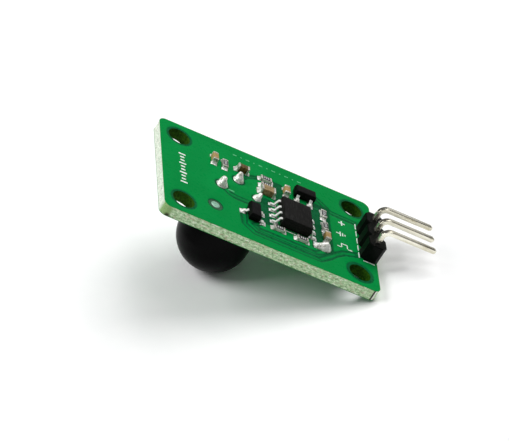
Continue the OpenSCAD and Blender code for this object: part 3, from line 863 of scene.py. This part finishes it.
def make_pads():
    upper, lower = Piece("pads_component_side"), Piece("pads_sensor_side")
    for at, cx, half_x, half_y in pad_frames():
        low, high = (cx - half_x, -half_y, -MASK), (cx + half_x, half_y, -0.012)
        upper.add(rounded_block(low, high, PAD_CORNER, 0.015), PLAIN["tinned_copper"], at)
    sites = [(place, SENSOR_DRILL, radius, UNDER_PAD) for place, radius in zip(LEAD_PLACES, CONE_RADII)]
    sites += [(place, HEADER_DRILL, HEADER_PAD, HEADER_PAD) for place in PIN_PLACES]
    for place, drill, above, below in sites:
        upper.add(annulus(place, above, drill / 2, BOARD_HIGH.z, TOP - 0.01), PLAIN["tinned_copper"])
        lower.add(annulus(place, below, drill / 2, 0.01, BOARD_LOW.z), PLAIN["tinned_copper"])
    upper.place("tin", "pads_top")
    lower.place("tin", "pads_bottom")
    disc = [(0, BOARD_HIGH.z), (0.6, BOARD_HIGH.z), (0.6, TOP - 0.03), (0.55, TOP - 0.012),
            (0.3, TOP - 0.004), (0, TOP)]
    Piece("fiducial_disc").add(lathe(disc, FIDUCIAL, 40), PLAIN["dull_tin"]).place("tin", "fiducial_target")


# ---- the printed legend ----

def stroke(piece, x, y, length, width, ink=LEGEND_WHITE):
    """A printed bar: length is its size along X and width its size along Y."""
    low, high = (x - length / 2, y - width / 2, TOP - 0.03), (x + length / 2, y + width / 2, TOP + 0.028)
    block = rounded_block(low, high, min(length, width) * 0.3, 0.012)
    piece.add(roughen(block, 0.02, 0.3, round(x * 7 + y)), ink)


def make_legend():
    """Outlines at the header and the chip, a plus, earth and pulse sign, and rows of plain dashes."""
    piece = Piece("legend_marks")
    line, signs_x = 0.15, -10.8
    for i in range(5):
        stroke(piece, HEADER_X + PIN_PITCH / 2 + line, (i - 2) * 1.55, line, 1.15)
    for side in (-1, 1):
        stroke(piece, HEADER_X, side * (1.5 * PIN_PITCH + line), 1.7, line)
        stroke(piece, CHIP.x, CHIP.y + side * ((CHIP_HIGH.y - CHIP_LOW.y) / 2 + 0.2), 3.6, line)
        stroke(piece, signs_x, -PIN_PITCH + side * 0.3, 0.2, 0.4)
        stroke(piece, signs_x + side * 0.8, PIN_PITCH + 0.4, 0.6, line)
        stroke(piece, signs_x + side * 0.425, PIN_PITCH, line, 0.65)
    stroke(piece, signs_x, -PIN_PITCH, 1, 0.2)
    stroke(piece, signs_x, PIN_PITCH - 0.4, 1, line)
    stroke(piece, signs_x + 0.75, 0, 0.55, line)
    for i in range(3):
        stroke(piece, signs_x + 0.4 - i * 0.35, 0, line, 1 - i * 0.32)
    for i in range(10):
        stroke(piece, 12.5, -3.1 + i * 0.69, 0.6 if i % 3 else 1.0, 0.28)
    for i in range(11):
        stroke(piece, 4.6 - i * 0.95, -8, 0.2 if i % 2 else 0.55, 0.2, PLAIN["faint_ink"])
    stroke(piece, 5.6, 0.6, 0.9, 0.3, PLAIN["faint_ink"])
    piece.place("legend_white", "legend_print")


# ---- the lens and the sensor under it ----

def make_lens():
    """A thin shell: the dome from its lowest point up, the round rim, then the ribbed inside."""
    wall, lip, chamfer, rib, steps = 0.45, 0.14, 0.08, 0.05, 40
    outer, inner, rim = LENS_RADIUS, LENS_RADIUS - wall, LENS_HIGH.z
    profile = []
    for step in range(steps + 1):
        angle = step / steps * math.pi / 2
        profile.append((outer * math.sin(angle), DOME_CENTRE - outer * math.cos(angle)))
    for step in range(7):
        angle = step / 6 * math.pi / 2
        profile.append((outer - lip + lip * math.cos(angle), rim - lip + lip * math.sin(angle)))
    profile += [(inner + chamfer, rim), (inner, rim - chamfer), (inner, DOME_CENTRE + 0.3)]
    for step in range(steps, 0, -1):
        angle = step / steps * math.pi / 2
        ridge = inner - (rib if step % 4 == 0 else 0.0)
        profile.append((ridge * math.sin(angle), DOME_CENTRE - ridge * math.cos(angle)))
    profile.append((0, DOME_CENTRE - inner))
    dome = lathe(profile, (LENS.x, LENS.y), 128)
    Piece("lens_dome").add(dome, LENS_BLACK).place("lens_black", "lens")


def make_sensor():
    """The sensor's base, a flange with a tab over a smaller step, and its three leads."""
    flange, radius, core, tab, wire = -0.5, 4.55, 3.8, 0.4, 0.225
    start = math.asin(tab / radius)
    turns = [start + (2 * math.pi - 2 * start) * i / 70 for i in range(71)]
    rim = [(radius * math.cos(turn), radius * math.sin(turn)) for turn in turns]
    loop = moved(rim + [(5.3, -tab), (5.3, tab)], (SENSOR_X, 0), 45)
    holes = [circle(place, 0.55, 24) for place in LEAD_PLACES[:2]] + [circle(LEAD_PLACES[2], wire, 16)]
    base = Piece("sensor_flange")
    base.add(plate(loop, holes, flange, flat_face(0.0), levels=3), PLAIN["can_steel"])
    lowest = cad_box("sensor_base")[0].z
    base.add(plate(circle((SENSOR_X, 0), core, 64), holes, lowest, flat_face(flange)), PLAIN["can_steel"])
    base.place("can_steel", "sensor_base")
    wires = Piece("lead_wires")
    foot = cad_box("sensor_leads")[0].z
    for place in LEAD_PLACES:
        rod = [(0, foot), (wire * 0.8, foot), (wire, foot + 0.05), (wire, TOP + 0.3), (0, TOP + 0.4)]
        wires.add(lathe(rod, place, 20), PLAIN["gold_plate"])
    wires.place("gold", "sensor_leads")


# ---- packages with leads ----

def gull_lead(root, shoulder, reach, exit_height, width, thickness, edge):
    """A lead along X that leaves its package at exit_height and bends down to the board."""
    points = [(root, exit_height), (shoulder, exit_height), (shoulder + 0.3, thickness / 2),
              (reach, thickness / 2)]
    return bar(rounded_path(points, thickness * 0.9, 6), width, thickness, edge)


def make_package(name, material, at, half_x, half_y, edge, lead, lead_frames):
    """A moulded body in its own frame, and the same lead at each lead's frame."""
    low, high = cad_box(name + "_body")
    body = moulded_block(half_x, half_y, low.z - TOP, high.z - TOP, edge)
    Piece(name + "_case").add(body, material, at).place("mould_black", name + "_body", sharp=50)
    leads = Piece(name + "_gull_leads")
    for lead_at in lead_frames:
        leads.add(lead, PLAIN["lead_tin"], lead_at)
    leads.place("tin", name + "_leads")


def make_packages():
    half = (CHIP_HIGH - CHIP_LOW) / 2
    lead = gull_lead(1.6, half.x + 0.16, 3.15, 0.95, 0.38, 0.2, 0.04)
    at = at_board(CHIP.x, CHIP.y)
    make_package("chip", CHIP_BLACK, at, half.x, half.y, 0.07, lead, chip_lead_frames())
    for name in SOT_NAMES:
        at, length, width, _ = sot_frame(name)
        lead = gull_lead(width / 2 - 0.2, width / 2 + 0.02, SOT_REACH, 0.5, 0.42, 0.14, 0.03)
        make_package(name, SOT_BLACK, at, width / 2, length / 2, 0.12, lead, sot_lead_frames(name))


# ---- chip resistors and capacitors ----

def slab(half_x, half_y, low, high, corner, edge, x=0.0):
    """A rounded block with its middle on the part's X axis."""
    return rounded_block((x - half_x, -half_y, low), (x + half_x, half_y, high), corner, edge)


def make_resistor(name):
    """A white ceramic chip with a dark glaze on top, and three ticks in place of its printed value."""
    at, length, width, height = part_frame(name)
    half_x, half_y = length / 2 - END_CAP, width / 2
    body = Piece(name + "_chip")
    core = slab(half_x + 0.05, half_y - 0.01, 0.01, height - 0.05, 0.03, 0.02)
    film = slab(half_x + 0.02, half_y - 0.05, height - 0.07, height, 0.05, 0.03)
    body.add(core, PLAIN["alumina"], at)
    body.add(film, PLAIN["resistor_glaze"], at)
    for i in (-1, 0, 1):
        tick = slab(0.06, width * 0.24, height - 0.02, height + 0.008, 0.02, 0.004, i * half_x * 0.55)
        body.add(tick, PLAIN["tick_ink"], at)
    body.place("resistor_black", name + "_body")
    make_ends(name, 0.05)


def make_ends(name, edge):
    at, length, width, height = part_frame(name)
    ends = Piece(name + "_caps")
    for side in (-1, 1):
        cap = slab(END_CAP / 2, width / 2, 0.0, height, edge * 1.5, edge, side * (length - END_CAP) / 2)
        ends.add(roughen(cap, 0.012, 0.25, sum(map(ord, name)) + side), PLAIN["end_cap_tin"], at)
    ends.place("tin", name + "_ends")


def make_capacitor(name, material, slot):
    at, length, width, height = part_frame(name)
    core = slab(length / 2 - END_CAP + 0.06, width / 2 - 0.025, 0.02, height - 0.025, 0.06, 0.06)
    core = roughen(core, 0.01, 0.3, sum(map(ord, name)))
    Piece(name + "_chip").add(core, material, at).place(slot, name + "_body")
    make_ends(name, 0.08)


# ---- the pin header ----

def strip_loop(inset):
    """The outline of three joined octagons, with V notches between them."""
    half, cut = PIN_PITCH / 2, STRIP_CORNER
    right = []
    for i in (-1, 0, 1):
        y = i * PIN_PITCH
        right += [(half - inset, y - half + cut), (half - inset, y + half - cut)]
        if i < 1:
            right.append((half - cut - inset, y + half))
    end = 1.5 * PIN_PITCH - inset
    side = [(half - cut, -end), *right, (half - cut, end)]
    return moved(side + [(-x, y) for x, y in reversed(side)], (HEADER_X, 0))


def make_header():
    chamfer, half = 0.09, PIN_WIDTH / 2
    outer, rim = strip_loop(0.0), strip_loop(chamfer)
    holes = [moved(outline(half + 0.02, half + 0.02, 0.03, 2), place) for place in PIN_PLACES]

    def surface(x, y):
        at_edge = np.zeros(len(x), bool)
        for corner_x, corner_y in outer:
            at_edge |= np.hypot(x - corner_x, y - corner_y) < 0.01
        return np.where(at_edge, STRIP_HIGH.z - chamfer, STRIP_HIGH.z)

    lines = [rim + rim[:1]]
    strip = plate(outer, holes, STRIP_LOW.z, surface, lines, levels=4, shift=lambda x, y, z: 0.012)
    Piece("header_block").add(strip, PLAIN["header_nylon"]).place("strip_black", "header_strip", sharp=25)
    for i, (x, y) in enumerate(PIN_PLACES):
        node = f"header_pin_{i + 1}"
        low, high = cad_box(node)
        path = rounded_path([(0, low.z), (0, high.z - half), (low.x - x, high.z - half)], 1.0, 10)
        pin = bar(path, PIN_WIDTH, PIN_WIDTH, 0.07, 0.5, 0.3)
        Piece(f"pin_{i + 1}").add(pin, PIN_METAL, Matrix.Translation((x, y, 0))).place("pin_metal", node)


# ---- solder ----

def make_joints():
    """Cones at the sensor's leads, each bent its own way, and round joints under the header."""
    cones = Piece("sensor_joints")
    low, high = cad_box("sensor_solder")
    height = high.z - TOP + 0.02
    for i, (place, (lean_x, lean_y, size)) in enumerate(zip(LEAD_PLACES, CONES)):
        radius, tip, rise_to = CONE_RADIUS * size, 0.24 * size, height * size
        profile = [(0, low.z), (0.38, low.z), (0.38, TOP - 0.05), (radius, TOP - 0.02)]
        for share in (step / 14 for step in range(1, 15)):
            profile.append((tip + (radius - tip) * (1 - share) ** 0.95, TOP + rise_to * share))
        profile += [(tip / 2, TOP + rise_to + 0.04), (0, TOP + rise_to + 0.05)]
        verts, faces = lathe(profile, place, 36)
        shares = [max(0.0, (v.z - TOP) / height) for v in verts]
        bent = [v + Vector((lean_x, lean_y, 0)) * share ** 1.5 for v, share in zip(verts, shares)]
        cones.add(roughen((bent, faces), 0.1, 0.5, i + 1), SOLDER)
    cones.place("solder", "sensor_solder", sharp=60)

    under = Piece("header_joints")
    low, _ = cad_box("header_solder")
    for i, place in enumerate(PIN_PLACES):
        profile = [(0, low.z - 0.05), (0.36, low.z), (0.46, low.z * 0.7), (0.62, low.z * 0.35), (0.86, 0.0),
                   (0.5, 0.1), (0.5, TOP + 0.02), (0, TOP + 0.02)]
        under.add(roughen(lathe(profile, place, 36), 0.03, 0.4, i + 5), SOLDER)
    under.place("solder", "header_solder", sharp=60)


def make_jumper():
    """One blob of solder over both pads: a large mound, a small one and a bridge."""
    low, high = cad_box("jumper_solder")
    height = high.z - TOP
    (small_x, y), (large_x, _) = JUMPER_PADS

    # Each lobe: its centre, half sizes, the power of its slope and its share of the height
    lobes = (
        (large_x + 0.1, y + 0.05, 0.95, 0.8, 0.62, 1.0),
        (small_x + 0.05, y + 0.2, 0.62, 0.5, 0.8, 0.5),
        ((small_x + large_x) / 2, y + 0.1, 0.8, 0.62, 0.6, 0.72),
    )

    def mound(x, y_at):
        body = 0.0
        for cx, cy, half_x, half_y, power, share in lobes:
            lobe = 1 - np.hypot((x - cx) / half_x, (y_at - cy) / half_y)
            body = np.maximum(body, np.clip(lobe, 0, 1) ** power * height * share)
        return TOP + 0.02 + np.minimum(body, height)

    loop = []
    for step in range(60):
        angle = 2 * math.pi * step / 60
        for reach in np.arange(2.2, 0.1, -0.02):
            x = (small_x + large_x) / 2 + reach * math.cos(angle)
            y_at = y + reach * math.sin(angle)
            if mound(x, y_at) > TOP + 0.1:
                break
        loop.append((x, y_at))
    dots = list(grid(0.11, (low.x, low.y), (high.x, high.y)))
    keep = inside(np.array(dots), loop)
    blob = plate(loop, [], TOP - 0.02, mound, (), [dot for dot, ok in zip(dots, keep) if ok])
    Piece("jumper_blob").add(roughen(blob, 0.06, 0.4, 3), SOLDER).place("solder", "jumper_solder", sharp=70)


def make_fillets():
    piece = Piece("part_fillets")
    for seed, name in enumerate(RESISTORS + CAPACITORS):
        at, length, width, height = part_frame(name)
        for side in (-1, 1):
            pad = (side * (length / 2 + END_PAD_SHIFT), 0, END_PAD_HALF, width / 2 + 0.04)
            core = (side * (length / 2 - 0.15), 0, 0.14, width / 2 - 0.04)
            fillet = heap(pad, core, height * (0.45 if seed % 3 else 0.6))
            piece.add(roughen(fillet, 0.04, 0.3, seed * 2 + side), SOLDER, at)
    for seed, at in enumerate(chip_lead_frames()):
        fillet = heap((2.88, 0, 0.46, 0.25), (2.88, 0, 0.28, 0.19), 0.13)
        piece.add(roughen(fillet, 0.03, 0.25, seed), SOLDER, at)
    for name in SOT_NAMES:
        for seed, at in enumerate(sot_lead_frames(name)):
            fillet = heap((1.43, 0, 0.4, 0.4), (1.24, 0, 0.16, 0.22), 0.3)
            piece.add(roughen(fillet, 0.05, 0.3, seed + 11), SOLDER, at)
    piece.place("solder", "surface_solder", sharp=60)


# ---- CAD nodes whose shape is right: they keep it, and get a better material ----

KEPT_NODES = {
    "plated_holes": "tinned_copper", "sensor_glass_seals": "seal_glass", "sensor_can": "can_steel",
    "sensor_filter": "silicon_window", "sensor_plate": "white_ceramic",
    "sensor_elements": "heat_element", "chip_paddle": "bare_copper", "chip_die": "silicon_die",
}


def dress_node(name, material):
    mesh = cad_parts[name].data
    mesh.materials.clear()
    mesh.materials.append(material)


make_core()
make_masks()
make_pads()
make_legend()
make_lens()
make_sensor()
make_packages()
for resistor in RESISTORS:
    make_resistor(resistor)
make_capacitor("capacitor_2", PLAIN["brown_ceramic"], "ceramic_brown")
make_capacitor("capacitor_3", PLAIN["beige_ceramic"], "ceramic_brown")
for number in (1, 4, 5):
    make_capacitor(f"capacitor_{number}", PLAIN["tan_ceramic"], "ceramic_tan")
make_header()
make_joints()
make_jumper()
make_fillets()
for kept, plain in KEPT_NODES.items():
    dress_node(kept, PLAIN[plain])
dress_node("sensor_transistor", CHIP_BLACK)

# ---- the stage: a white table that the dome and the header end rest on ----

AMBIENT = 0.22
RUN = LENS.x - BOARD_LOW.x
FLOOR_TILT = math.atan2(-DOME_CENTRE, RUN) + math.asin(LENS_RADIUS / math.hypot(RUN, DOME_CENTRE))
FLOOR_ALONG = Vector((math.cos(FLOOR_TILT), 0, -math.sin(FLOOR_TILT)))


def make_floor():
    """The table runs under the board, and bends down a little past the header end."""
    foot = Vector((BOARD_LOW.x, 0, 0))
    rows = [foot + FLOOR_ALONG * 160, foot - FLOOR_ALONG * 3]
    for degrees, run in ((3, 2), (6, 2), (9, 2), (12, 150)):
        fall = Matrix.Rotation(-math.radians(degrees), 3, "Y") @ FLOOR_ALONG
        rows.append(rows[-1] - fall * run)
    verts = [row + Vector((0, side, 0)) for row in rows for side in (-150, 150)]
    faces = [(2 * i, 2 * i + 1, 2 * i + 3, 2 * i + 2) for i in range(len(rows) - 1)]
    mesh = bpy.data.meshes.new("table")
    mesh.from_pydata([v * MM for v in verts], [], faces)
    mesh.materials.append(plain_surface("table_paper", (250, 251, 251), (254, 254, 254), 6, (0.85, 0.95),
                                        0.01, specular=0.1))
    table = bpy.data.objects.new("table", mesh)
    bpy.context.scene.collection.objects.link(table)


def softbox(name, direction, distance, size, power):
    """A square lamp that looks at the object from the given direction."""
    lamp = bpy.data.lights.new(name, "AREA")
    lamp.size = size
    lamp.energy = power
    holder = bpy.data.objects.new(name, lamp)
    holder.location = Vector(direction).normalized() * distance
    holder.rotation_euler = Vector(direction).to_track_quat("Z", "Y").to_euler()
    bpy.context.scene.collection.objects.link(holder)


def make_world():
    """A surround that is white to the camera and lights the object more gently."""
    world = bpy.data.worlds.new("studio")
    bpy.context.scene.world = world
    world.use_nodes = True
    nodes, link = world.node_tree.nodes, world.node_tree.links.new
    path = nodes.new("ShaderNodeLightPath")
    strength = nodes.new("ShaderNodeMapRange")
    strength.inputs["To Min"].default_value = AMBIENT
    strength.inputs["To Max"].default_value = 1.0
    link(path.outputs["Is Camera Ray"], strength.inputs["Value"])
    link(strength.outputs[0], nodes["Background"].inputs["Strength"])
    nodes["Background"].inputs["Color"].default_value = (1, 1, 1, 1)
    world.cycles_visibility.glossy = False


def make_camera(azimuth, elevation, roll, target, distance, focal):
    """A camera on a sphere round the target; azimuth 0 looks along +Y."""
    azimuth, elevation = math.radians(azimuth), math.radians(elevation)
    level_back = Vector((math.sin(azimuth), -math.cos(azimuth), 0)) * math.cos(elevation)
    back = level_back + Vector((0, 0, math.sin(elevation)))
    right = Vector((0, 0, 1)).cross(back).normalized()
    up = back.cross(right)
    turn = Matrix((right, up, back)).transposed().to_4x4() @ Matrix.Rotation(math.radians(roll), 4, "Z")
    lens = bpy.data.cameras.new("camera")
    lens.lens = focal
    lens.sensor_width = 36
    lens.clip_start, lens.clip_end = 0.01, 10
    camera = bpy.data.objects.new("camera", lens)
    camera.matrix_world = Matrix.Translation((Vector(target) + back * distance) * MM) @ turn
    bpy.context.scene.collection.objects.link(camera)
    bpy.context.scene.camera = camera


make_floor()
make_world()
softbox("overhead", (0.1, -0.35, 1.0), 0.5, 0.36, 1.72)
softbox("key_left", (1.0, 0.0, 0.3), 0.45, 0.25, 1.25)
softbox("rim_back", (-0.35, -0.95, 0.5), 0.5, 0.25, 0.12)
softbox("fill_front", (0.6, 0.9, 0.6), 0.6, 0.35, 0.05)
make_camera(158.455, 28.987, 33.5, (0.659, 0.463, -1.215), 469.0, 260.15)
bpy.context.scene.view_settings.view_transform = "Standard"
